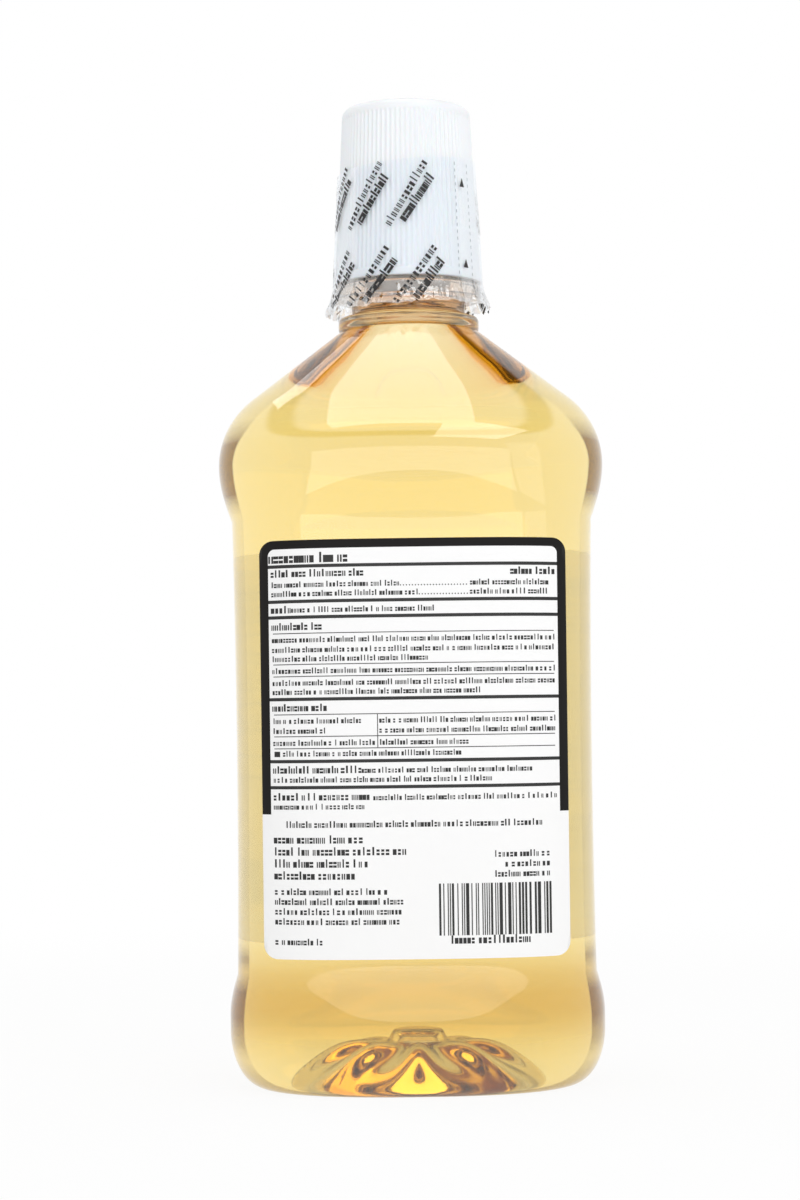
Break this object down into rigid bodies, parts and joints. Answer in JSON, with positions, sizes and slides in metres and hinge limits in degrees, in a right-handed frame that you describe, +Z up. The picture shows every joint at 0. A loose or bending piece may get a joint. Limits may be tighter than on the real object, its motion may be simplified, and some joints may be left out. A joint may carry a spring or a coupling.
{
  "type": "mouthwash bottle",
  "caption": "Clear oval plastic bottle of amber mouthwash with recessed label panels, a fluted squeeze-and-turn dosing cap and a clear tear-off neck band.",
  "frame": {"origin": "middle of the standing ring, on the floor that the bottle stands on", "axes": "+Z up along the neck, +X to the right and -Y towards the viewer, on the side with the back label"},
  "size_m": [0.0966, 0.078, 0.2455],
  "materials": {
    "clear_pet": "clear gloss, blow-moulded PET",
    "mouthwash": "clear pale amber liquid",
    "white_pp": "satin moulded polypropylene",
    "seal_foam": "soft foamed polyethylene",
    "shrink_film": "clear gloss shrink film",
    "label_film": "white printed film, varnished"
  },
  "bodies": {
    "bottle": {"bottle": "clear_pet", "mouthwash": "mouthwash", "back_label": "label_film", "front_label": "label_film"},
    "seal": {"seal_ring": "seal_foam"},
    "cap": {"dosing_cap": "white_pp"},
    "band": {"neck_band": "shrink_film"},
    "strip": {"tear_strip": "shrink_film"}
  },
  "joints": [
    {"name": "cap_rise", "type": "slide", "parent": "bottle", "child": "seal", "axis": [0, 0, 1], "range_m": [0, 0.01905]},
    {"name": "cap_turn", "type": "hinge", "parent": "seal", "child": "cap", "pos_m": [0, 0, 0.21], "axis": [0, 0, 1], "range_deg": [0, 1620]},
    {"name": "band_lift", "type": "slide", "parent": "cap", "child": "band", "axis": [0, 0, 1], "range_m": [0, 0.06]},
    {"name": "strip_pull", "type": "slide", "parent": "band", "child": "strip", "axis": [0.766, -0.6428, 0], "range_m": [0, 0.03]}
  ],
  "couplings": [
    {"joint": "cap_rise", "follows": "cap_turn", "m_per_rad": 0.00067322}
  ]
}
